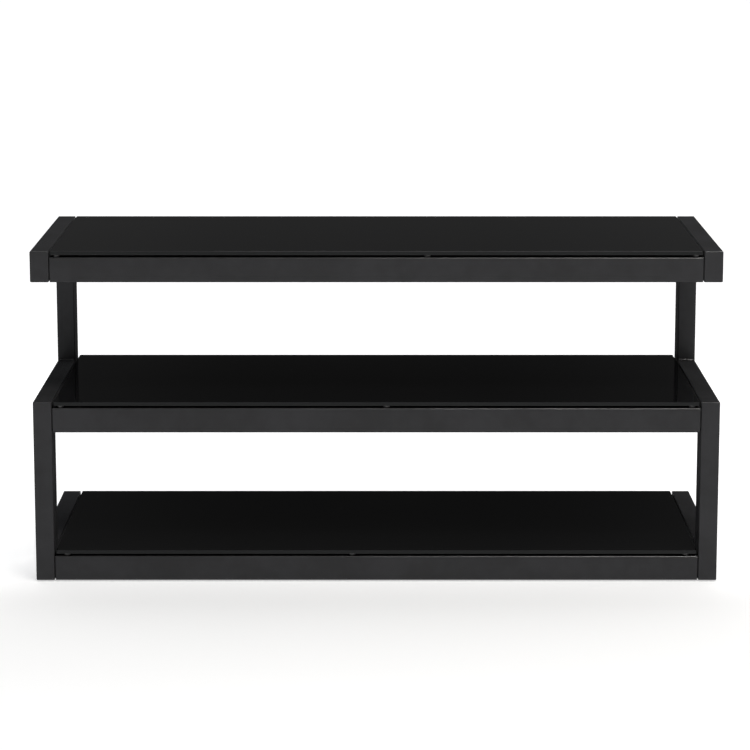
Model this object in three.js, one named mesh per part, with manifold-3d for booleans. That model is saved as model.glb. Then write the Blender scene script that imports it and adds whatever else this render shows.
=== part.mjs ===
// Audio equipment rack: two zig-zag side frames of steel tube, six cross rails and three loose glass shelves.
// Millimetres, +Z up. The front faces -Y, +X is to the viewer's right, the origin is on the floor at the centre.
import * as THREE from "three";
import { mergeVertices } from "three/addons/utils/BufferGeometryUtils.js";
import Module from "manifold-3d";

const wasm = await Module();
wasm.setup();

// Driving dimensions
const rackWidth = 1100;
const rackDepth = 400;
const rackHeight = 540;
const middleHeight = 296;
const tubeWidth = 30;
const tubeHeight = 50;
const railDepth = 30;
const glassThickness = 6;
const padThickness = 4;

// Side tube: rectangular steel tube, mitred and welded at the corners, closed at its free ends
const tubeWall = 1.5;
const tubeInnerCorner = 0.5;
const mitreGap = 0.3;
const endPlateThickness = 2;

// Cross rail: rectangular steel tube with a tapped plate welded in each end
const railWall = 1.5;
const railInnerCorner = 0.5;
const railEndPlate = 4;

// Glass shelf: loose on its pads, with a gap to the side tubes that is wider on the two lower levels,
// rounded corners and ground edges
const topGlassSideGap = 2;
const lowerGlassSideGap = 3;
const glassCorner = 3;
const glassArris = 0.5;

// Round silicone pad, stuck on a rail by hand: each level has them a little elsewhere
const padDiameter = 10;
const padEdgeRound = 1.5;
const padSetBack = 10;
const bottomPadInset = 20;
const middlePadInset = 13.5;
const topPadInset = 12;

// Glide under a bottom tube
const glideDiameter = 22;
const glideThickness = 2;
const glideEdgeRound = 0.5;
const glideInset = 40;

// Countersunk socket screw, through a sleeve across the side tube and into the rail's end plate
const screwDiameter = 6;
const screwHeadDiameter = 12;
const screwHeadRim = 0.4;
const screwTipChamfer = 0.8;
const screwPastPlate = 3;
const screwClearance = 0.3;
const screwSetBack = 10;
const socketAcrossFlats = 4;
const socketDepth = 2.3;
const sleeveDiameter = 14;

// How finely curves are cut, and how far a cutter runs past what it cuts
const cornerSegments = 2;
const screwSegments = 16;
const discSegments = 12;
const overrun = 2;

// Worked out from the sizes above
const frontY = -rackDepth / 2;
const rearY = rackDepth / 2;
const clearWidth = rackWidth - 2 * tubeWidth;
const tubeCorner = tubeInnerCorner + tubeWall;
const railCorner = railInnerCorner + railWall;
const railHeight = tubeHeight - glassThickness - padThickness;
const screwLength = tubeWidth + railEndPlate + screwPastPlate;

// The three levels: the height of the shelf surface, the gap beside its glass, and where its rails' pads are
const levels = [
  {
    name: "bottom",
    top: glideThickness + tubeHeight,
    glassSideGap: lowerGlassSideGap,
    padInset: bottomPadInset,
    centrePadShare: -0.0375,
  },
  {
    name: "middle",
    top: middleHeight,
    glassSideGap: lowerGlassSideGap,
    padInset: middlePadInset,
    centrePadShare: 0.0155,
  },
  {
    name: "top",
    top: rackHeight,
    glassSideGap: topGlassSideGap,
    padInset: topPadInset,
    centrePadShare: 0.078,
  },
];
const [bottomLevel, middleLevel, topLevel] = levels;

// The two side frames, and the two rails of a level
const sides = [
  { name: "left", outwards: -1 },
  { name: "right", outwards: 1 },
];
const rows = [
  { name: "front", outwards: -1 },
  { name: "rear", outwards: 1 },
];

const finishes = {
  frame: { color: 0x232325, roughness: 0.45, metalness: 0.1 },
  glass: { color: 0x08080a, roughness: 0.06, metalness: 0 },
  pad: { color: 0xa9a9a4, roughness: 0.4, metalness: 0 },
  screw: { color: 0x17171a, roughness: 0.35, metalness: 0.9 },
  glide: { color: 0x121212, roughness: 0.8, metalness: 0 },
};

// A closed geometry as a solid that can be joined and cut.
function solidOf(geometry) {
  const bare = geometry.clone();
  bare.deleteAttribute("normal");
  bare.deleteAttribute("uv");
  const merged = mergeVertices(bare);
  const vertProperties = merged.attributes.position.array;
  const triVerts = new Uint32Array(merged.index.array);
  return new wasm.Manifold(new wasm.Mesh({ numProp: 3, vertProperties, triVerts }));
}

// A joined or cut solid back as a geometry with flat faces.
function geometryOf(solid) {
  const mesh = solid.getMesh();
  const shared = new THREE.BufferGeometry();
  shared.setAttribute("position", new THREE.BufferAttribute(mesh.vertProperties, mesh.numProp));
  shared.setIndex(new THREE.BufferAttribute(mesh.triVerts, 1));
  const flat = shared.toNonIndexed();
  flat.computeVertexNormals();
  return flat;
}

function piece(name, geometry, finish) {
  const mesh = new THREE.Mesh(geometry, new THREE.MeshStandardMaterial(finish));
  mesh.name = name;
  return mesh;
}

// Draws a rounded rectangle about the origin on a shape or on the path of a hole.
function roundedRectangle(outline, width, height, corner) {
  const x = width / 2 - corner;
  const y = height / 2 - corner;
  const quarter = Math.PI / 2;
  outline.absarc(x, y, corner, 0, quarter);
  outline.absarc(-x, y, corner, quarter, 2 * quarter);
  outline.absarc(-x, -y, corner, 2 * quarter, 3 * quarter);
  outline.absarc(x, -y, corner, 3 * quarter, 4 * quarter);
  outline.closePath();
  return outline;
}

// Prism of that shape along Z, from z = 0.
function prism(shape, depth) {
  return new THREE.ExtrudeGeometry(shape, { depth, bevelEnabled: false, curveSegments: cornerSegments });
}

// Shape turned about Z from pairs of radius and height.
function turned(profile, segments) {
  const points = profile.map(([radius, height]) => new THREE.Vector2(radius, height));
  return new THREE.LatheGeometry(points, segments).rotateX(Math.PI / 2);
}

// Screw along Z with its flush face at z = 0. Grown and made longer, it is the hole that the screw goes in.
function screwBlank(grow, extra) {
  const shank = screwDiameter / 2 + grow;
  const head = screwHeadDiameter / 2 + grow;
  const tip = -screwLength - extra;
  const profile = [
    [0, tip],
    [shank - screwTipChamfer, tip],
    [shank, tip + screwTipChamfer],
    [shank, -screwHeadRim - (head - shank)],
    [head, -screwHeadRim],
    [head, extra],
    [0, extra],
  ];
  return turned(profile, screwSegments);
}

// Turns something made along Z so that its +Z end looks out of the rack's side.
function lookOutwards(geometry, outwards) {
  return geometry.rotateY((outwards * Math.PI) / 2);
}

// Where screws pass through a side frame: at both ends of each level, at mid height of the tube there.
function screwPlaces() {
  return levels.flatMap((level) =>
    rows.map((row) => ({
      name: `${level.name}_${row.name}`,
      y: row.outwards * (rearY - screwSetBack),
      z: level.top - tubeHeight / 2,
    })),
  );
}

function screwHole(place, outwards) {
  const hole = lookOutwards(screwBlank(screwClearance, overrun), outwards);
  return solidOf(hole.translate((outwards * tubeWidth) / 2, place.y, place.z));
}

// Sleeve welded across a side tube, which the screw can't crush. Its ends are buried in the tube's walls.
function sleeve(place) {
  const round = new THREE.CylinderGeometry(
    sleeveDiameter / 2,
    sleeveDiameter / 2,
    tubeWidth - tubeWall,
    screwSegments,
  );
  return solidOf(round.rotateZ(Math.PI / 2).translate(0, place.y, place.z));
}

// Hollow tube along Z from z = 0. A mitre is 1 where the +Y side is the long one, -1 where -Y is, 0 where square.
function mitredTube(length, startMitre, endMitre) {
  const section = roundedRectangle(new THREE.Shape(), tubeWidth, tubeHeight, tubeCorner);
  const boreWidth = tubeWidth - 2 * tubeWall;
  const boreHeight = tubeHeight - 2 * tubeWall;
  section.holes.push(roundedRectangle(new THREE.Path(), boreWidth, boreHeight, tubeInnerCorner));
  const tube = prism(section, length);
  const position = tube.attributes.position;
  for (let i = 0; i < position.count; i++) {
    const atEnd = position.getZ(i) > length / 2;
    const mitre = atEnd ? endMitre : startMitre;
    if (mitre === 0) continue;
    const cutBack = tubeHeight / 2 - mitre * position.getY(i) + mitreGap / 2;
    position.setZ(i, atEnd ? length - cutBack : cutBack);
  }
  return tube;
}

// Tube from front to rear with its top at a level. Its mitres are 1 where the underside is the long one.
function levelTube(level, startY, endY, startMitre, endMitre) {
  const tube = mitredTube(endY - startY, startMitre, endMitre);
  return tube.rotateX(-Math.PI / 2).translate(0, startY, level.top - tubeHeight / 2);
}

// Post from the underside of one level's tube to the top of another's. Its long side is -1 front or 1 rear.
function post(lowLevel, highLevel, centreY, longSide) {
  const foot = lowLevel.top - tubeHeight;
  return mitredTube(highLevel.top - foot, longSide, longSide).translate(0, centreY, foot);
}

// Plate welded flush on the square end of a level's tube, from startY towards the rear.
function endPlate(level, startY) {
  const plate = prism(roundedRectangle(new THREE.Shape(), tubeWidth, tubeHeight, tubeCorner), endPlateThickness);
  return plate.rotateX(-Math.PI / 2).translate(0, startY, level.top - tubeHeight / 2);
}

// One side frame, with the sleeves and holes of the screws that pass through its tubes.
function sideFrame(side) {
  const plateFrontY = frontY + endPlateThickness;
  const plateRearY = rearY - endPlateThickness;
  const tubes = [
    {
      name: "bottom_tube",
      shape: levelTube(bottomLevel, frontY, plateRearY, 1, 0),
      screws: ["bottom_rear"],
    },
    {
      name: "front_post",
      shape: post(bottomLevel, middleLevel, frontY + tubeHeight / 2, -1),
      screws: ["bottom_front", "middle_front"],
    },
    {
      name: "middle_tube",
      shape: levelTube(middleLevel, frontY, rearY, -1, 1),
      screws: [],
    },
    {
      name: "rear_post",
      shape: post(middleLevel, topLevel, rearY - tubeHeight / 2, 1),
      screws: ["middle_rear", "top_rear"],
    },
    {
      name: "top_tube",
      shape: levelTube(topLevel, plateFrontY, rearY, 0, -1),
      screws: ["top_front"],
    },
  ];
  const group = new THREE.Group();
  group.position.x = (side.outwards * (rackWidth - tubeWidth)) / 2;
  for (const tube of tubes) {
    let solid = solidOf(tube.shape);
    for (const place of screwPlaces().filter(({ name }) => tube.screws.includes(name))) {
      solid = solid.add(sleeve(place)).subtract(screwHole(place, side.outwards));
    }
    group.add(piece(`${side.name}_${tube.name}`, geometryOf(solid), finishes.frame));
  }
  group.add(piece(`${side.name}_bottom_tube_end_plate`, endPlate(bottomLevel, plateRearY), finishes.frame));
  group.add(piece(`${side.name}_top_tube_end_plate`, endPlate(topLevel, frontY), finishes.frame));
  return group;
}

// The screws of one side frame, their heads flush with its outer face.
function sideScrews(side) {
  const socketRadius = socketAcrossFlats / 2 / Math.cos(Math.PI / 6);
  const socket = new THREE.CylinderGeometry(socketRadius, socketRadius, 2 * socketDepth, 6).rotateX(Math.PI / 2);
  const screw = geometryOf(solidOf(screwBlank(0, 0)).subtract(solidOf(socket)));
  const group = new THREE.Group();
  group.position.x = (side.outwards * rackWidth) / 2;
  for (const place of screwPlaces()) {
    const mesh = piece(`${side.name}_${place.name}_screw`, screw, finishes.screw);
    mesh.position.set(0, place.y, place.z);
    mesh.rotation.y = (side.outwards * Math.PI) / 2;
    group.add(mesh);
  }
  return group;
}

// Cross rail along X about the origin: a tube with a plate in each end, which the screw's hole goes through.
function crossRail(outwards) {
  const outer = roundedRectangle(new THREE.Shape(), railHeight, railDepth, railCorner);
  const boreHeight = railHeight - 2 * railWall;
  const boreDepth = railDepth - 2 * railWall;
  const boreLength = clearWidth - 2 * railEndPlate;
  const bore = roundedRectangle(new THREE.Shape(), boreHeight, boreDepth, railInnerCorner);
  let rail = solidOf(prism(outer, clearWidth).translate(0, 0, -clearWidth / 2));
  rail = rail.subtract(solidOf(prism(bore, boreLength).translate(0, 0, -boreLength / 2)));
  const holeRadius = screwDiameter / 2 + screwClearance;
  const aboveCentre = (tubeHeight - railHeight) / 2;
  const offCentre = outwards * (railDepth / 2 - screwSetBack);
  const hole = new THREE.CylinderGeometry(holeRadius, holeRadius, clearWidth + overrun, screwSegments);
  rail = rail.subtract(solidOf(hole.rotateX(Math.PI / 2).translate(-aboveCentre, offCentre, 0)));
  return geometryOf(rail).rotateY(Math.PI / 2);
}

// A level's glass plate, with its underside at z = 0.
function glassPlate(level) {
  const width = clearWidth - 2 * level.glassSideGap;
  const plate = new THREE.ExtrudeGeometry(roundedRectangle(new THREE.Shape(), width, rackDepth, glassCorner), {
    depth: glassThickness - 2 * glassArris,
    bevelThickness: glassArris,
    bevelSize: glassArris,
    bevelOffset: -glassArris,
    bevelSegments: 1,
    curveSegments: cornerSegments,
  });
  return plate.translate(0, 0, glassArris);
}

// Silicone pad with its underside at z = 0.
function padDisc() {
  const radius = padDiameter / 2;
  const profile = [
    [0, 0],
    [radius, 0],
    [radius, padThickness - padEdgeRound],
    [radius - padEdgeRound, padThickness],
    [0, padThickness],
  ];
  return turned(profile, discSegments);
}

// Glide that stands on the floor at z = 0.
function glideDisc() {
  const radius = glideDiameter / 2;
  const profile = [
    [0, 0],
    [radius - glideEdgeRound, 0],
    [radius, glideEdgeRound],
    [radius, glideThickness],
    [0, glideThickness],
  ];
  return turned(profile, discSegments);
}

// The rails, pads and glass of one level, made about the shelf surface at its centre.
function shelfLevel(level) {
  const group = new THREE.Group();
  group.position.z = level.top;
  const padX = clearWidth / 2 - level.padInset;
  const padPlaces = [
    { name: "left", x: -padX },
    { name: "centre", x: level.centrePadShare * clearWidth },
    { name: "right", x: padX },
  ];
  for (const row of rows) {
    const rail = piece(`${level.name}_${row.name}_rail`, crossRail(row.outwards), finishes.frame);
    rail.position.set(0, row.outwards * (rearY - railDepth / 2), railHeight / 2 - tubeHeight);
    group.add(rail);
    for (const place of padPlaces) {
      const pad = piece(`${level.name}_${row.name}_${place.name}_pad`, padDisc(), finishes.pad);
      pad.position.set(place.x, row.outwards * (rearY - padSetBack), railHeight - tubeHeight);
      group.add(pad);
    }
  }
  const glass = piece(`${level.name}_glass_shelf`, glassPlate(level), finishes.glass);
  glass.position.z = -glassThickness;
  group.add(glass);
  return group;
}

// The glides under the bottom tube of one side frame.
function sideGlides(side) {
  const group = new THREE.Group();
  group.position.x = (side.outwards * (rackWidth - tubeWidth)) / 2;
  for (const row of rows) {
    const glide = piece(`${side.name}_${row.name}_glide`, glideDisc(), finishes.glide);
    glide.position.y = row.outwards * (rearY - glideInset);
    group.add(glide);
  }
  return group;
}

const rack = new THREE.Group();
for (const side of sides) rack.add(sideFrame(side), sideScrews(side), sideGlides(side));
for (const level of levels) rack.add(shelfLevel(level));

export default rack;
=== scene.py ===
# Audio equipment rack: two zig-zag side frames of steel tube, six cross rails and three loose glass shelves.
# Metres, +Z up. The front faces -Y, +X is to the viewer's right, the origin is on the floor at the centre.
import math

import bpy
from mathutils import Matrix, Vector


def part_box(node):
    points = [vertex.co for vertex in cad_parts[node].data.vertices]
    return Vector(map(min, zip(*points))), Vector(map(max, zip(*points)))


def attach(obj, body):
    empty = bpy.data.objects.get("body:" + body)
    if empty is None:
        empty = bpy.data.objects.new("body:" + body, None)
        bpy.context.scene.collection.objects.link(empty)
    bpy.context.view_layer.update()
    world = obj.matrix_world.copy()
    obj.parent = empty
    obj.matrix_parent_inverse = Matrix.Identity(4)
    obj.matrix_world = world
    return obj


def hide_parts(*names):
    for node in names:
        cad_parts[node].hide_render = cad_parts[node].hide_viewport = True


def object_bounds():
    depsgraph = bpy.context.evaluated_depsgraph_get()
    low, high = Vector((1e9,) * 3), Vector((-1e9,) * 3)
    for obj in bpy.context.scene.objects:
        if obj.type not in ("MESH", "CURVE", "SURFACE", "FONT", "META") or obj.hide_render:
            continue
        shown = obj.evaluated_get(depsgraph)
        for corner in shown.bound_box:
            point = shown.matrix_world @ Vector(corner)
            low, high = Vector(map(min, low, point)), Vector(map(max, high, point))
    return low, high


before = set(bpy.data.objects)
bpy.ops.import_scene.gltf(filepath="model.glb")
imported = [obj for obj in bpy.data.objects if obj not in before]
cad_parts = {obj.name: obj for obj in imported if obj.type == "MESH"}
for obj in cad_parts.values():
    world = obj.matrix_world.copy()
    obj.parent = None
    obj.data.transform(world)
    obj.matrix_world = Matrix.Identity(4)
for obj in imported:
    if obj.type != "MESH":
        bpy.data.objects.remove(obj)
cad_low, cad_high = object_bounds()

X, Y, Z = range(3)

# Side tubes: how round their long edges and welded corners are, and the seam that the weld leaves.
# The CAD's tubes stop half a mitre gap short of each mitre. The tubes here run on to the full corner.
TUBE_CORNER = 0.002
TUBE_CORNER_STEPS = 6
MITRE_GAP = 0.0003
WELDED_CORNER = 0.0011
WELDED_CORNER_STEPS = 3
SEAM = 0.00016
SEAM_STEPS = 1

# The plates that close two of a side frame's tubes
PLATE_EDGE = 0.0015
PLATE_EDGE_STEPS = 3

# Weld bead in the hollow of a corner, laid between the rounded edges of the tube
BEAD_RADIUS = 0.0029
BEAD_BURIED = 0.0006
BEAD_SIDES = 20
BEAD_CUTS = 28
BEAD_RIPPLE = 0.0011
BEAD_RIPPLE_LENGTH = 0.0032

# Cross rails: the walls stop short of the side tubes by the width of the joint, and a smaller end plate
# stands out as far as the tube
RAIL_CORNER = 0.002
RAIL_CORNER_STEPS = 6
RAIL_END_EDGE = 0.0008
RAIL_END_EDGE_STEPS = 3
RAIL_JOINT = 0.0014
RAIL_PLATE_INSET = 0.004

# Glass shelves: rounded corners, then a ground arris round the top and the bottom
GLASS_CORNER = 0.003
GLASS_CORNER_STEPS = 8
GLASS_ARRIS = 0.0005
GLASS_ARRIS_STEPS = 2

# Silicone pads and glides
PAD_SIDES = 32
PAD_TOP_ROUND = 0.0015
PAD_FOOT_ROUND = 0.0004
GLIDE_SIDES = 40
GLIDE_TOP_ROUND = 0.00025
GLIDE_FOOT_ROUND = 0.0005
DISC_TOP_STEPS = 4
DISC_FOOT_STEPS = 3

# Countersunk socket screws: radii, depths, and the clearance that their countersinks give them all round
SCREW_SIDES = 40
SCREW_HEAD = 0.006
SCREW_HEAD_RIM = 0.0004
SCREW_SHANK = 0.003
SCREW_TIP = 0.0008
SCREW_CLEARANCE = 0.0003
SCREW_EDGE = 0.00012
SCREW_EDGE_STEPS = 2
SOCKET_SIDES = 6
SOCKET_ACROSS = 0.004
SOCKET_DEPTH = 0.0023
SOCKET_EDGE = 0.00015
SOCKET_EDGE_STEPS = 2
COUNTERSINK_DEPTH = 0.008

# Edges flatter than this are shaded smooth
SMOOTH_BELOW = math.radians(33)

# How far along an axis a unit vector reaches when an edge runs along it, and when a face looks along it
RUNS_ALONG = 0.999
LOOKS_ALONG = 0.99999

# How far from a plane an edge may lie and still count as in it
TOUCHING = 1e-5

# The threshold of a cut, far under the seam's width, so that a cut merges none of the seam's edges
CUT_EXACTLY = 1e-8

SIDES = {"left": -1, "right": 1}
LEVELS = ("bottom", "middle", "top")
ROWS = ("front", "rear")
PAD_PLACES = ("left", "centre", "right")

# The tubes of a side frame: the way each runs, which corners are mitred off it, and its screws.
# A mitre is the (y, z) direction in which its face looks.
TUBES = {
    "bottom_tube": {"along": Y, "mitres": [(-1, 1)], "screws": ["bottom_rear"]},
    "front_post": {"along": Z, "mitres": [(1, -1), (1, 1)], "screws": ["bottom_front", "middle_front"]},
    "middle_tube": {"along": Y, "mitres": [(-1, -1), (1, 1)], "screws": []},
    "rear_post": {"along": Z, "mitres": [(-1, -1), (-1, 1)], "screws": ["middle_rear", "top_rear"]},
    "top_tube": {"along": Y, "mitres": [(1, -1)], "screws": ["top_front"]},
}

# The hollow corners that carry a weld bead: the tube and post that meet, and the (y, z) way it looks
BEADS = {
    "bottom_front": {"tube": "bottom_tube", "post": "front_post", "looks": (1, 1)},
    "middle_front": {"tube": "middle_tube", "post": "front_post", "looks": (1, -1)},
    "middle_rear": {"tube": "middle_tube", "post": "rear_post", "looks": (-1, 1)},
    "top_rear": {"tube": "top_tube", "post": "rear_post", "looks": (-1, -1)},
}


# Modelling by hand, in code

def only(piece):
    """Makes a piece the only one selected, and the active one."""
    bpy.ops.object.select_all(action="DESELECT")
    piece.select_set(True)
    bpy.context.view_layer.objects.active = piece


def settle(name):
    """Names the new object and puts its place, turn and size in its mesh."""
    piece = bpy.context.active_object
    piece.name = piece.data.name = name
    only(piece)
    bpy.ops.object.transform_apply(location=True, rotation=True, scale=True)
    return piece


def block(name, low, high):
    bpy.ops.mesh.primitive_cube_add(size=1, location=(low + high) / 2, scale=high - low)
    return settle(name)


def pick(piece, kind, wanted):
    """Opens a piece for editing with only the wanted faces or edges selected."""
    only(piece)
    bpy.ops.object.mode_set(mode="EDIT")
    bpy.ops.mesh.select_mode(type=kind)
    bpy.ops.mesh.select_all(action="DESELECT")
    bpy.ops.object.mode_set(mode="OBJECT")
    for part in piece.data.polygons if kind == "FACE" else piece.data.edges:
        part.select = wanted(part)
    bpy.ops.object.mode_set(mode="EDIT")


def close():
    bpy.ops.object.mode_set(mode="OBJECT")


def ends_of(piece, edge):
    return [piece.data.vertices[index].co for index in edge.vertices]


def runs_along(piece, axis):
    """A test for edges that run along an axis."""
    def test(edge):
        first, second = ends_of(piece, edge)
        return abs((second - first).normalized()[axis]) > RUNS_ALONG
    return test


def lies_in(piece, point, normal):
    """A test for edges that lie in a plane."""
    def test(edge):
        return all(abs((end - point).dot(normal)) < TOUCHING for end in ends_of(piece, edge))
    return test


def round_edges(piece, wanted, width, steps):
    pick(piece, "EDGE", wanted)
    bpy.ops.mesh.bevel(offset_type="OFFSET", offset=width, segments=steps, affect="EDGES")
    close()


def cut_off(piece, point, normal):
    """Cuts away what lies beyond a plane and closes the cut."""
    pick(piece, "FACE", lambda face: True)
    bpy.ops.mesh.bisect(
        plane_co=point, plane_no=normal, use_fill=True, clear_outer=True, threshold=CUT_EXACTLY
    )
    close()


def subtract(piece, cutter):
    hole = piece.modifiers.new("hole", "BOOLEAN")
    hole.operation = "DIFFERENCE"
    hole.solver = "EXACT"
    hole.object = cutter
    only(piece)
    bpy.ops.object.modifier_apply(modifier=hole.name)
    bpy.data.objects.remove(cutter)


def copied(pattern, name, shift, turn=0):
    """A copy of a pattern with a mesh of its own, turned about Z and moved, with both in its mesh."""
    piece = pattern.copy()
    piece.data = pattern.data.copy()
    bpy.context.collection.objects.link(piece)
    piece.rotation_euler.z = turn
    piece.location = shift
    only(piece)
    return settle(name)


def dress(piece, finish, body, slot, *nodes):
    """Smooths a piece, gives it its finish, ties it to its body, and hides the nodes that it stands for.

    Faces that look along an axis keep their flat shading, and only the rounded edges between them bend it.
    """
    only(piece)
    bpy.ops.object.shade_smooth_by_angle(angle=SMOOTH_BELOW)
    pick(piece, "FACE", lambda face: max(abs(part) for part in face.normal) > LOOKS_ALONG)
    bpy.ops.mesh.mod_weighted_strength(set=True, face_strength="STRONG")
    close()
    flats = piece.modifiers.new("flats", "WEIGHTED_NORMAL")
    flats.keep_sharp = True
    flats.use_face_influence = True
    bpy.ops.object.modifier_apply(modifier=flats.name)
    piece.data.materials.clear()
    piece.data.materials.append(finish)
    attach(piece, body)
    if nodes:
        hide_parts(*nodes)
    return piece


# Finishes. Noises are in features to the metre, bumps in metres, and tones are linear greys from 0 to 1.

# Powder coat
COAT_TONE = 0.046
COAT_PEEL = {"scale": 780.0}
COAT_PEEL_BUMP = 0.00004
COAT_GRAIN = {"scale": 3400.0, "detail": 3.0}
COAT_GRAIN_BUMP = 0.00001
COAT_CLOUDS = {"scale": 9.0, "detail": 4.0}
COAT_CLOUDS_SHARE = 0.6
COAT_DRIFT = {"scale": 46.0, "detail": 3.0}
COAT_DRIFT_SHARE = 0.4
COAT_MOTTLE = {"low": 0.36, "high": 0.64}
COAT_DARKEST = {"value": 0.92 * COAT_TONE, "blue": 0.0015}
COAT_LIGHTEST = {"value": 1.08 * COAT_TONE, "blue": 0.0025}
COAT_SPECKS = {"scale": 1500.0, "detail": 1.0}
COAT_SPECK = {"low": 0.74, "high": 0.82}
COAT_SPECK_TONE = 0.1
COAT_SPECK_COVERS = 0.25
COAT_ROUGH = {"plain": 0.415, "drift": 0.07, "grain": 0.06}

# The crests of edges that face upwards, by how far up they look, and how rubbed they are
CREST_BEGINS = {"low": 0.33, "high": 0.43}
CREST_ENDS = {"low": 0.68, "high": 0.76}
RUBBED = {"low": 0.3, "high": 0.7, "start": 0.6, "end": 0.85}

# Black glass: its faces, which look straight up or down, and its ground edges, which look sideways
GLASS_TONE = {"value": 0.0035, "blue": 0.0003}
GLASS_EDGE_COLOUR = (0.003, 0.0038, 0.0042, 1.0)
GLASS_UPRIGHT = {"low": 0.1, "high": 0.9}
GLASS_WIPING = {"scale": 7.0, "detail": 5.0}
GLASS_WIPED = {"low": 0.45, "high": 0.75}
GLASS_GRINDING = {"scale": 1100.0}
GLASS_GRINDING_BUMP = 0.000008
GLASS_ROUGH = {"plain": 0.03, "wiping": 0.025, "edge": 0.58, "grinding": 0.12}
GLASS_EDGE_METAL = 0.35

# Silicone
SILICONE_CLOUD = {"scale": 420.0}
SILICONE_CLOUDED = {"low": 0.3, "high": 0.7}
SILICONE_TONES = (0.12, 0.17)
SILICONE_SKIN = {"scale": 2600.0}
SILICONE_SKIN_BUMP = 0.00002
SILICONE_ROUGH = {"plain": 0.34, "skin": 0.12}

# Screw steel
STEEL_OXIDE = {"scale": 900.0, "detail": 3.0}
STEEL_OXIDISED = {"low": 0.35, "high": 0.65}
STEEL_DARKEST = {"value": 0.035}
STEEL_LIGHTEST = {"value": 0.075, "blue": 0.003}
STEEL_FINE = {"scale": 5200.0}
STEEL_FINE_BUMP = 0.00001
STEEL_ROUGH = {"plain": 0.28, "oxide": 0.16}

# Glide rubber
RUBBER_GRAIN = {"scale": 1900.0, "detail": 3.0}
RUBBER_GRAIN_BUMP = 0.00006
RUBBER_DUST = {"scale": 160.0, "detail": 4.0}
RUBBER_DUSTY = {"low": 0.5, "high": 0.8}
RUBBER_TONES = (0.012, 0.03)
RUBBER_ROUGH = {"plain": 0.72, "grain": 0.14}


class Wire:
    """A node's output. Python's operators join wires and numbers through Math nodes."""

    def __init__(self, tree, socket=None):
        self.tree = tree
        self.socket = socket

    def node(self, kind, settings=None, sockets=None, output=0):
        """Adds any node: its type, its settings, then the values or wires of its sockets."""
        made = self.tree.nodes.new(kind)
        for name, value in (settings or {}).items():
            setattr(made, name, value)
        for name, value in (sockets or {}).items():
            if isinstance(value, Wire):
                self.tree.links.new(value.socket, made.inputs[name])
            else:
                made.inputs[name].default_value = value
        return Wire(self.tree, made.outputs[output] if made.outputs else None)

    def maths(self, operation, first, second):
        return self.node("ShaderNodeMath", {"operation": operation}, {0: first, 1: second})

    def size(self):
        """This wire without its sign."""
        return self.node("ShaderNodeMath", {"operation": "ABSOLUTE"}, {0: self})

    def __add__(self, other):
        return self.maths("ADD", self, other)

    def __rsub__(self, other):
        return self.maths("SUBTRACT", other, self)

    def __mul__(self, other):
        return self.maths("MULTIPLY", self, other)

    __radd__ = __add__
    __rmul__ = __mul__

    def noise(self, scale, detail=2.0):
        """Noise from 0 to 1 in the object's own metres, scale features to the metre."""
        place = self.node("ShaderNodeTexCoord", output="Object")
        sockets = {"Vector": place, "Scale": scale, "Detail": detail}
        return self.node("ShaderNodeTexNoise", sockets=sockets)

    def bump(self, distance, height, **sockets):
        return self.node("ShaderNodeBump", sockets={"Distance": distance, "Height": height, **sockets})

    def between(self, low, high, start=0.0, end=1.0):
        """This wire from low to high, eased to run from start to end."""
        sockets = {"Value": self, "From Min": low, "From Max": high, "To Min": start, "To Max": end}
        return self.node("ShaderNodeMapRange", {"interpolation_type": "SMOOTHSTEP"}, sockets)

    def blend(self, first, second):
        """The first colour where this wire is 0, the second where it is 1."""
        return self.node("ShaderNodeMix", {"data_type": "RGBA"}, {0: self, 6: first, 7: second}, output=2)


def new_finish(name):
    """An empty material, and the wire that its nodes start from."""
    finish = bpy.data.materials.new(name)
    finish.use_nodes = True
    finish.node_tree.nodes.clear()
    return finish, Wire(finish.node_tree)


def surface(start, **sockets):
    """Ends a material in a Principled shader. Underscores in the sockets' names stand for spaces."""
    named = {name.replace("_", " "): value for name, value in sockets.items()}
    shader = start.node("ShaderNodeBsdfPrincipled", sockets=named)
    start.node("ShaderNodeOutputMaterial", sockets={"Surface": shader})


def grey(value, blue=0.0):
    return (value, value, value + blue, 1.0)


def upper_edges(start):
    """1 on the crests of rounded edges that face upwards, 0 on flat faces and on all that looks down."""
    facing = start.node("ShaderNodeNewGeometry", output="True Normal")
    upwards = start.node("ShaderNodeSeparateXYZ", sockets={"Vector": facing}, output="Z")
    return upwards.between(**CREST_BEGINS) * (1 - upwards.between(**CREST_ENDS))


def powder_coat(name):
    """Satin black powder coat: orange peel over a fine grain, clouds of tone, a few specks, rubbed edges.

    Part of it is metallic, which keeps faces seen at a slant dark beside the white studio. On the rubbed
    crests lies a clear, glossier coat.
    """
    finish, start = new_finish(name)
    peel = start.noise(**COAT_PEEL)
    grain = start.noise(**COAT_GRAIN)
    clouds = start.noise(**COAT_CLOUDS)
    drift = start.noise(**COAT_DRIFT)
    mottle = (COAT_CLOUDS_SHARE * clouds + COAT_DRIFT_SHARE * drift).between(**COAT_MOTTLE)
    specks = start.noise(**COAT_SPECKS).between(**COAT_SPECK)
    base = mottle.blend(grey(**COAT_DARKEST), grey(**COAT_LIGHTEST))
    base = (specks * COAT_SPECK_COVERS).blend(base, grey(COAT_SPECK_TONE))
    rough = COAT_ROUGH["plain"] + COAT_ROUGH["drift"] * drift + COAT_ROUGH["grain"] * grain
    bump = start.bump(COAT_PEEL_BUMP, peel)
    bump = start.bump(COAT_GRAIN_BUMP, grain, Normal=bump)
    rubbed = upper_edges(start) * drift.between(**RUBBED)
    surface(
        start, Base_Color=base, Roughness=rough, Normal=bump, Coat_Weight=rubbed, Coat_Roughness=0.25,
        Coat_IOR=1.95, Metallic=0.4, Specular_IOR_Level=0.0, Specular_Tint=grey(0.12),
    )
    return finish


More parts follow.
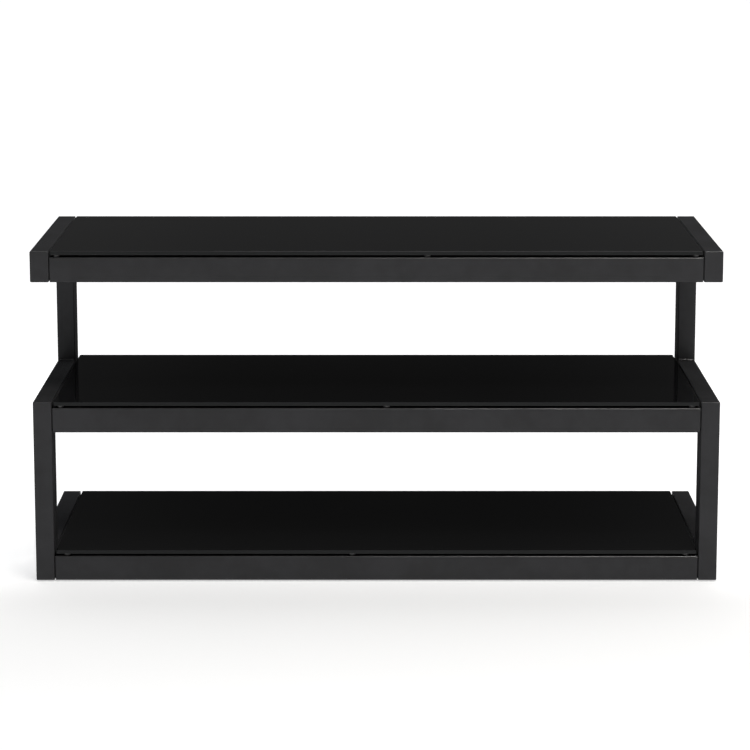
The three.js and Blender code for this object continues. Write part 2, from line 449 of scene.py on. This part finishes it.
def black_glass():
    """Opaque black glass: polished faces with the faintest wiping marks, and matt ground, greener edges."""
    finish, start = new_finish("black_glass")
    facing = start.node("ShaderNodeNewGeometry", output="True Normal")
    upright = start.node("ShaderNodeSeparateXYZ", sockets={"Vector": facing}, output="Z")
    edge = 1 - upright.size().between(**GLASS_UPRIGHT)
    wiping = start.noise(**GLASS_WIPING).between(**GLASS_WIPED)
    grinding = start.noise(**GLASS_GRINDING)
    base = edge.blend(grey(**GLASS_TONE), GLASS_EDGE_COLOUR)
    ground = GLASS_ROUGH["edge"] + GLASS_ROUGH["grinding"] * grinding
    rough = GLASS_ROUGH["plain"] + GLASS_ROUGH["wiping"] * wiping + edge * ground
    bump = start.bump(GLASS_GRINDING_BUMP, grinding * edge)
    surface(
        start, Base_Color=base, Roughness=rough, Normal=bump, Metallic=GLASS_EDGE_METAL * edge,
        IOR=1.52, Specular_IOR_Level=0.4,
    )
    return finish


def silicone_pad():
    """Milky silicone, a little cloudy, with a fine, slightly matt skin."""
    finish, start = new_finish("silicone_pad")
    darkest, lightest = SILICONE_TONES
    cloud = start.noise(**SILICONE_CLOUD)
    skin = start.noise(**SILICONE_SKIN)
    base = cloud.between(**SILICONE_CLOUDED).blend(grey(darkest), grey(lightest))
    rough = SILICONE_ROUGH["plain"] + SILICONE_ROUGH["skin"] * skin
    bump = start.bump(SILICONE_SKIN_BUMP, skin)
    surface(start, Base_Color=base, Roughness=rough, Normal=bump, IOR=1.41)
    return finish


def black_screw_steel():
    """Oiled black oxide on steel, uneven in tone and shine, over a fine grain."""
    finish, start = new_finish("black_screw_steel")
    oxide = start.noise(**STEEL_OXIDE)
    fine = start.noise(**STEEL_FINE)
    base = oxide.between(**STEEL_OXIDISED).blend(grey(**STEEL_DARKEST), grey(**STEEL_LIGHTEST))
    rough = STEEL_ROUGH["plain"] + STEEL_ROUGH["oxide"] * oxide
    bump = start.bump(STEEL_FINE_BUMP, fine)
    surface(start, Base_Color=base, Roughness=rough, Metallic=0.9, Normal=bump)
    return finish


def glide_rubber():
    """Matt black rubber with a moulded grain and a trace of dust."""
    finish, start = new_finish("glide_rubber")
    clean, dusty = RUBBER_TONES
    grain = start.noise(**RUBBER_GRAIN)
    dust = start.noise(**RUBBER_DUST).between(**RUBBER_DUSTY)
    base = dust.blend(grey(clean), grey(dusty))
    rough = RUBBER_ROUGH["plain"] + RUBBER_ROUGH["grain"] * grain
    bump = start.bump(RUBBER_GRAIN_BUMP, grain)
    surface(start, Base_Color=base, Roughness=rough, Normal=bump)
    return finish


# The side frames

def box_to_mitres(name, tube):
    """A tube's box, run on to the full corners that its mitres are cut from."""
    low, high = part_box(name)
    along = tube["along"]
    for looks in tube["mitres"]:
        outwards = looks[along - Y]
        end = high if outwards > 0 else low
        end[along] += outwards * MITRE_GAP / 2
    return low, high


def mitre_off(piece, low, high, along, looks):
    """Mitres the end of a tube and rounds its half of the welded corner."""
    across = Y + Z - along
    normal = Vector((0, *looks)).normalized()
    corner = Vector(low)
    corner[along] = high[along] if normal[along] > 0 else low[along]
    corner[across] = low[across] if normal[across] > 0 else high[across]
    cut_off(piece, corner, normal)
    round_edges(piece, lies_in(piece, corner, normal), SEAM, SEAM_STEPS)
    inwards = Vector((0, 0, 0))
    inwards[along] = -math.copysign(WELDED_CORNER, normal[along])
    inwards[across] = math.copysign(WELDED_CORNER, normal[across])
    for step in range(1, WELDED_CORNER_STEPS + 1):
        turn = math.pi / 4 * step / WELDED_CORNER_STEPS
        facet = Vector((0, 0, 0))
        facet[along] = math.copysign(math.sin(turn), normal[along])
        facet[across] = -math.copysign(math.cos(turn), normal[across])
        cut_off(piece, corner + inwards + facet * WELDED_CORNER, facet)


def square_end(piece, place, along):
    """The seam at a square end, where a plate is welded on."""
    normal = Vector((0, 0, 0))
    normal[along] = 1
    round_edges(piece, lies_in(piece, place, normal), SEAM, SEAM_STEPS)


def side_tube(side, name, finish, countersink):
    full_name = f"{side}_{name}"
    tube = TUBES[name]
    along = tube["along"]
    low, high = box_to_mitres(full_name, tube)
    piece = block(full_name + "_skin", low, high)
    round_edges(piece, runs_along(piece, along), TUBE_CORNER, TUBE_CORNER_STEPS)
    for looks in tube["mitres"]:
        mitre_off(piece, low, high, along, looks)
    if len(tube["mitres"]) == 1:
        square_end(piece, high if tube["mitres"][0][along - Y] < 0 else low, along)
    for place in tube["screws"]:
        subtract(piece, at_screw(countersink, f"{side}_{place}_countersink", side, place))
    return dress(piece, finish, "frame", "frame_powder_coat", full_name)


def end_plate(side, name, outwards, finish):
    """The plate that closes a tube, flush all round, with a ground edge."""
    full_name = f"{side}_{name}"
    low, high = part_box(full_name)
    piece = block(full_name + "_skin", low, high)
    round_edges(piece, runs_along(piece, Y), TUBE_CORNER, TUBE_CORNER_STEPS)
    outer, inner = (high, low) if outwards > 0 else (low, high)
    square_end(piece, inner, Y)
    round_edges(piece, lies_in(piece, outer, Vector((0, 1, 0))), PLATE_EDGE, PLATE_EDGE_STEPS)
    return dress(piece, finish, "frame", "frame_powder_coat", full_name)


def weld_bead(side, name, finish):
    """An uneven bead in a hollow corner, sunk a little into both tubes."""
    bead = BEADS[name]
    looks = Vector((0, *bead["looks"]))
    tube_low, tube_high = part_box(f"{side}_{bead['tube']}")
    post_low, post_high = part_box(f"{side}_{bead['post']}")
    corner = Vector((
        (tube_low.x + tube_high.x) / 2,
        post_high.y if looks.y > 0 else post_low.y,
        tube_high.z if looks.z > 0 else tube_low.z,
    ))
    length = tube_high.x - tube_low.x - 2 * TUBE_CORNER
    bpy.ops.mesh.primitive_cylinder_add(
        vertices=BEAD_SIDES, radius=BEAD_RADIUS, depth=length, location=corner, rotation=(0, math.pi / 2, 0)
    )
    piece = settle(f"{side}_{name}_weld_bead")
    pick(piece, "EDGE", runs_along(piece, X))
    bpy.ops.mesh.subdivide(number_cuts=BEAD_CUTS)
    close()
    buried = corner - looks * BEAD_BURIED
    cut_off(piece, buried, Vector((0, -looks.y, 0)))
    cut_off(piece, buried, Vector((0, 0, -looks.z)))
    texture = bpy.data.textures.new(piece.name, "CLOUDS")
    texture.noise_scale = BEAD_RIPPLE_LENGTH
    ripple = piece.modifiers.new("ripple", "DISPLACE")
    ripple.texture = texture
    ripple.texture_coords = "GLOBAL"
    ripple.strength = BEAD_RIPPLE
    only(piece)
    bpy.ops.object.modifier_apply(modifier=ripple.name)
    return dress(piece, finish, "frame", "frame_powder_coat")


# Screws

def stepped_round(name, steps):
    """A round body down from a flat face at z = 0, from pairs of radius and depth."""
    bpy.ops.mesh.primitive_circle_add(vertices=SCREW_SIDES, radius=steps[0][0], fill_type="NGON")
    piece = settle(name)
    pick(piece, "FACE", lambda face: True)
    for (radius, depth), (next_radius, next_depth) in zip(steps, steps[1:]):
        bpy.ops.mesh.extrude_region_move(TRANSFORM_OT_translate={"value": (0, 0, depth - next_depth)})
        share = next_radius / radius
        bpy.ops.transform.resize(value=(share, share, 1), center_override=(0, 0, -next_depth))
    bpy.ops.mesh.select_all(action="SELECT")
    bpy.ops.mesh.normals_make_consistent(inside=False)
    close()
    return piece


def screw_pattern(length):
    """A countersunk screw that looks up, with its hexagon socket."""
    neck = SCREW_HEAD_RIM + SCREW_HEAD - SCREW_SHANK
    screw = stepped_round("screw_pattern", [
        (SCREW_HEAD, 0),
        (SCREW_HEAD, SCREW_HEAD_RIM),
        (SCREW_SHANK, neck),
        (SCREW_SHANK, length - SCREW_TIP),
        (SCREW_SHANK - SCREW_TIP, length),
    ])
    up = Vector((0, 0, 1))
    round_edges(screw, lies_in(screw, Vector((0, 0, 0)), up), SCREW_EDGE, SCREW_EDGE_STEPS)
    radius = SOCKET_ACROSS / 2 / math.cos(math.pi / SOCKET_SIDES)
    bpy.ops.mesh.primitive_cylinder_add(vertices=SOCKET_SIDES, radius=radius, depth=2 * SOCKET_DEPTH)
    subtract(screw, settle("socket"))

    def socket_rim(edge):
        return lies_in(screw, Vector((0, 0, 0)), up)(edge) and all(
            end.to_2d().length < SOCKET_ACROSS for end in ends_of(screw, edge)
        )
    round_edges(screw, socket_rim, SOCKET_EDGE, SOCKET_EDGE_STEPS)
    return look_right(screw)


def countersink_pattern():
    """What is cut from a tube for a screw's head, a little wider than the head all round."""
    head = SCREW_HEAD + SCREW_CLEARANCE
    shank = SCREW_SHANK + SCREW_CLEARANCE
    neck = SCREW_HEAD_RIM + head - shank
    cutter = stepped_round("countersink_pattern", [
        (head, -SCREW_HEAD_RIM),
        (head, SCREW_HEAD_RIM),
        (shank, neck),
        (shank, COUNTERSINK_DEPTH),
    ])
    return look_right(cutter)


def look_right(piece):
    """Turns what looks up so that it looks to the right."""
    piece.rotation_euler.y = math.pi / 2
    only(piece)
    bpy.ops.object.transform_apply(location=True, rotation=True, scale=True)
    return piece


def at_screw(pattern, name, side, place):
    """A copy of a pattern that looks right, at a screw's place and looking out of its side."""
    low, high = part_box(f"{side}_{place}_screw")
    face = Vector((high.x if SIDES[side] > 0 else low.x, (low.y + high.y) / 2, (low.z + high.z) / 2))
    return copied(pattern, name, face, 0 if SIDES[side] > 0 else math.pi)


# Rails, glass, pads and glides

def cross_rail(node, finish):
    low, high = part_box(node)
    low.x += RAIL_JOINT
    high.x -= RAIL_JOINT
    piece = block(node + "_skin", low, high)
    round_edges(piece, runs_along(piece, X), RAIL_CORNER, RAIL_CORNER_STEPS)
    for end in (low, high):
        round_edges(piece, lies_in(piece, end, Vector((1, 0, 0))), RAIL_END_EDGE, RAIL_END_EDGE_STEPS)
    pick(piece, "FACE", lambda face: abs(face.normal.x) > LOOKS_ALONG)
    bpy.ops.mesh.inset(thickness=RAIL_PLATE_INSET, depth=0)
    bpy.ops.mesh.inset(thickness=0, depth=RAIL_JOINT)
    close()
    return dress(piece, finish, "frame", "rail_powder_coat", node)


def glass_shelf(level, finish):
    node = f"{level}_glass_shelf"
    low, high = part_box(node)
    piece = block(node + "_plate", low, high)
    round_edges(piece, runs_along(piece, Z), GLASS_CORNER, GLASS_CORNER_STEPS)
    for face in (low, high):
        round_edges(piece, lies_in(piece, face, Vector((0, 0, 1))), GLASS_ARRIS, GLASS_ARRIS_STEPS)
    return dress(piece, finish, f"{level}_shelf", "black_glass", node)


def disc_pattern(node, sides, top_round, foot_round):
    """A round pad modelled at its node's size, its foot at z = 0."""
    low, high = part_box(node)
    height = high.z - low.z
    bpy.ops.mesh.primitive_cylinder_add(
        vertices=sides, radius=(high.y - low.y) / 2, depth=height, location=(0, 0, height / 2)
    )
    piece = settle(node + "_pattern")
    up = Vector((0, 0, 1))
    round_edges(piece, lies_in(piece, Vector((0, 0, height)), up), top_round, DISC_TOP_STEPS)
    round_edges(piece, lies_in(piece, Vector((0, 0, 0)), up), foot_round, DISC_FOOT_STEPS)
    return piece


def at_disc(pattern, node, finish, slot):
    low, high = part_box(node)
    foot = Vector(((low.x + high.x) / 2, (low.y + high.y) / 2, low.z))
    return dress(copied(pattern, node + "_disc", foot), finish, "frame", slot, node)


def build_rack():
    frame_finish = powder_coat("frame_powder_coat")
    rail_finish = powder_coat("rail_powder_coat")
    glass_finish = black_glass()
    pad_finish = silicone_pad()
    screw_finish = black_screw_steel()
    glide_finish = glide_rubber()

    low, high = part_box("left_top_front_screw")
    screw = screw_pattern(high.x - low.x)
    countersink = countersink_pattern()
    for side in SIDES:
        for name in TUBES:
            side_tube(side, name, frame_finish, countersink)
        end_plate(side, "bottom_tube_end_plate", 1, frame_finish)
        end_plate(side, "top_tube_end_plate", -1, frame_finish)
        for name in BEADS:
            weld_bead(side, name, frame_finish)
        for level in LEVELS:
            for row in ROWS:
                node = f"{side}_{level}_{row}_screw"
                made = at_screw(screw, node + "_turned", side, f"{level}_{row}")
                dress(made, screw_finish, "frame", "black_screw_steel", node)

    glide = disc_pattern("left_front_glide", GLIDE_SIDES, GLIDE_TOP_ROUND, GLIDE_FOOT_ROUND)
    for side in SIDES:
        for row in ROWS:
            at_disc(glide, f"{side}_{row}_glide", glide_finish, "glide_rubber")

    pad = disc_pattern("top_front_left_pad", PAD_SIDES, PAD_TOP_ROUND, PAD_FOOT_ROUND)
    for level in LEVELS:
        glass_shelf(level, glass_finish)
        for row in ROWS:
            cross_rail(f"{level}_{row}_rail", rail_finish)
            for place in PAD_PLACES:
                at_disc(pad, f"{level}_{row}_{place}_pad", pad_finish, "silicone_pad")

    for pattern in (screw, countersink, glide, pad):
        bpy.data.objects.remove(pattern)


# Studio

# The camera, fitted to the photograph's edges. It stands CAMERA_AWAY from the rack's front.
PHOTO_SIDE = 750
SENSOR = 36
FOCAL_PIXELS = 2700.2
LENS_SHIFT = -0.1
CAMERA_AWAY = 4.2271
CAMERA_HEIGHT = 1.1912
CAMERA_PITCH = math.radians(9.79)
CAMERA_ASIDE = -0.0023

# The overhead light comes from a little behind, so that the rack's shadow falls forwards
OVERHEAD = 1.4
OVERHEAD_WIDTH = math.radians(75)
OVERHEAD_HANGS = (0, 0, 2)
OVERHEAD_SHINES = (-0.1, -0.36, -1)

# The floor: how far it reaches each way, and its colour. One unit of the overhead light brings it up by
# OVERHEAD_WHITENS, and the glow that the camera sees brings the far floor up to just white.
FLOOR_HALF = 70.0
FLOOR_WHITE = 0.8
OVERHEAD_WHITENS = 0.2394
FLOOR_GLOW = 1 - OVERHEAD_WHITENS * OVERHEAD

# In front of the rack the softboxes light the floor too, so that glow is held back there by about as much:
# between the rack's sides, from under its front, to some way ahead of it
HELD_BACK = 0.34
BETWEEN_SIDES = {"low": 0.55, "high": 0.8, "start": 1.0, "end": 0.0}
FROM_FRONT = {"low": -0.35, "high": -0.05, "start": 1.0, "end": 0.0}
SOME_WAY_AHEAD = {"low": -2.6, "high": -1.4, "start": 0.0, "end": 1.0}

# Softboxes, high enough that the shelves don't mirror them: place, size, power and colour
SOFTBOXES_AIM = (0, 0, 0.3)
SOFTBOXES = {
    "front_softbox": ((1.0, -3.0, 3.6), (1.6, 1.0), 7, (1.0, 1.0, 1.0)),
    "edge_softbox": ((0.95, -1.9, 3.0), (1.5, 0.3), 35, (1.0, 0.97, 0.93)),
    "right_softbox": ((2.8, -1.2, 3.0), (1.2, 1.2), 18, (1.0, 0.97, 0.93)),
    "left_softbox": ((-2.8, -1.2, 3.0), (1.2, 1.2), 20, (0.92, 0.96, 1.0)),
    "rear_softbox": ((0.3, 2.8, 3.2), (1.6, 1.0), 12, (1.0, 1.0, 1.0)),
}

# The backdrop: its glow fades with height, and faint bands give the glass the tones that it shows
HORIZON_GLOW = 0.03
LOW_BAND = {"low": 0.158, "high": 0.188, "start": 0.038, "end": 0.0165}
HIGH_BAND = {"low": 0.235, "high": 0.27, "start": 0.0, "end": 0.016}
SIDE_BANDS = {"low": 0.04, "high": 0.12, "start": 0.0, "end": 0.008}


def photo_camera():
    data = bpy.data.cameras.new("photo_camera")
    data.sensor_width = SENSOR
    data.lens = FOCAL_PIXELS * SENSOR / PHOTO_SIDE
    data.shift_y = LENS_SHIFT
    data.clip_end = 4 * FLOOR_HALF
    camera = bpy.data.objects.new("photo_camera", data)
    camera.location = (CAMERA_ASIDE, cad_low.y - CAMERA_AWAY, CAMERA_HEIGHT)
    camera.rotation_euler = (math.pi / 2 - CAMERA_PITCH, 0, 0)
    bpy.context.collection.objects.link(camera)
    bpy.context.scene.camera = camera


def studio_floor():
    """A white floor that keeps the rack's shadow.

    To the camera it glows only as far as the lights leave it short of white, and in reflections and through
    clear materials it glows at the strength of white.
    """
    finish, start = new_finish("studio_floor")
    camera_ray = start.node("ShaderNodeLightPath", output="Is Camera Ray")
    glossy_ray = start.node("ShaderNodeLightPath", output="Is Glossy Ray")
    clear_ray = start.node("ShaderNodeLightPath", output="Is Transmission Ray")
    place = start.node("ShaderNodeTexCoord", output="Object")
    sideways = start.node("ShaderNodeSeparateXYZ", sockets={"Vector": place}, output="X")
    back = start.node("ShaderNodeSeparateXYZ", sockets={"Vector": place}, output="Y")
    ahead = back.between(**FROM_FRONT) * back.between(**SOME_WAY_AHEAD)
    in_front = sideways.size().between(**BETWEEN_SIDES) * ahead
    shown = camera_ray * (FLOOR_GLOW - HELD_BACK * in_front) + glossy_ray + clear_ray
    matt = start.node("ShaderNodeBsdfDiffuse", sockets={"Color": grey(FLOOR_WHITE)})
    glow = start.node("ShaderNodeEmission", sockets={"Color": grey(1.0), "Strength": shown})
    both = start.node("ShaderNodeAddShader", sockets={0: matt, 1: glow})
    start.node("ShaderNodeOutputMaterial", sockets={"Surface": both})
    bpy.ops.mesh.primitive_plane_add(size=2 * FLOOR_HALF)
    floor = settle("studio_floor")
    floor.data.materials.append(finish)


def hang(name, data, place, shines):
    lamp = bpy.data.objects.new(name, data)
    lamp.location = place
    lamp.rotation_euler = Vector(shines).to_track_quat("-Z", "Y").to_euler()
    bpy.context.collection.objects.link(lamp)


def dim_studio():
    """A backdrop that is white at the horizon and dim above it, in the bands that the black glass shows."""
    world = bpy.data.worlds.new("studio_world")
    world.use_nodes = True
    world.node_tree.nodes.clear()
    start = Wire(world.node_tree)
    direction = start.node("ShaderNodeTexCoord", output="Generated")
    height = start.node("ShaderNodeSeparateXYZ", sockets={"Vector": direction}, output="Z")
    sideways = start.node("ShaderNodeSeparateXYZ", sockets={"Vector": direction}, output="X")
    above = start.maths("MAXIMUM", height, 0.0)
    glow = start.maths("EXPONENT", above * (-1 / HORIZON_GLOW), 0.0)
    bands = height.between(**LOW_BAND) + height.between(**HIGH_BAND) + sideways.size().between(**SIDE_BANDS)
    light = start.node("ShaderNodeBackground", sockets={"Strength": glow + bands})
    start.node("ShaderNodeOutputWorld", sockets={"Surface": light})
    bpy.context.scene.world = world


def studio_lights():
    overhead = bpy.data.lights.new("overhead_softbox", "SUN")
    overhead.energy = OVERHEAD
    overhead.angle = OVERHEAD_WIDTH
    hang("overhead_softbox", overhead, OVERHEAD_HANGS, OVERHEAD_SHINES)
    for name, (place, size, power, colour) in SOFTBOXES.items():
        softbox = bpy.data.lights.new(name, "AREA")
        softbox.shape = "RECTANGLE"
        softbox.size, softbox.size_y = size
        softbox.energy = power
        softbox.color = colour
        hang(name, softbox, place, Vector(SOFTBOXES_AIM) - Vector(place))
    dim_studio()
    bpy.context.scene.view_settings.view_transform = "Standard"


photo_camera()
build_rack()
studio_floor()
studio_lights()
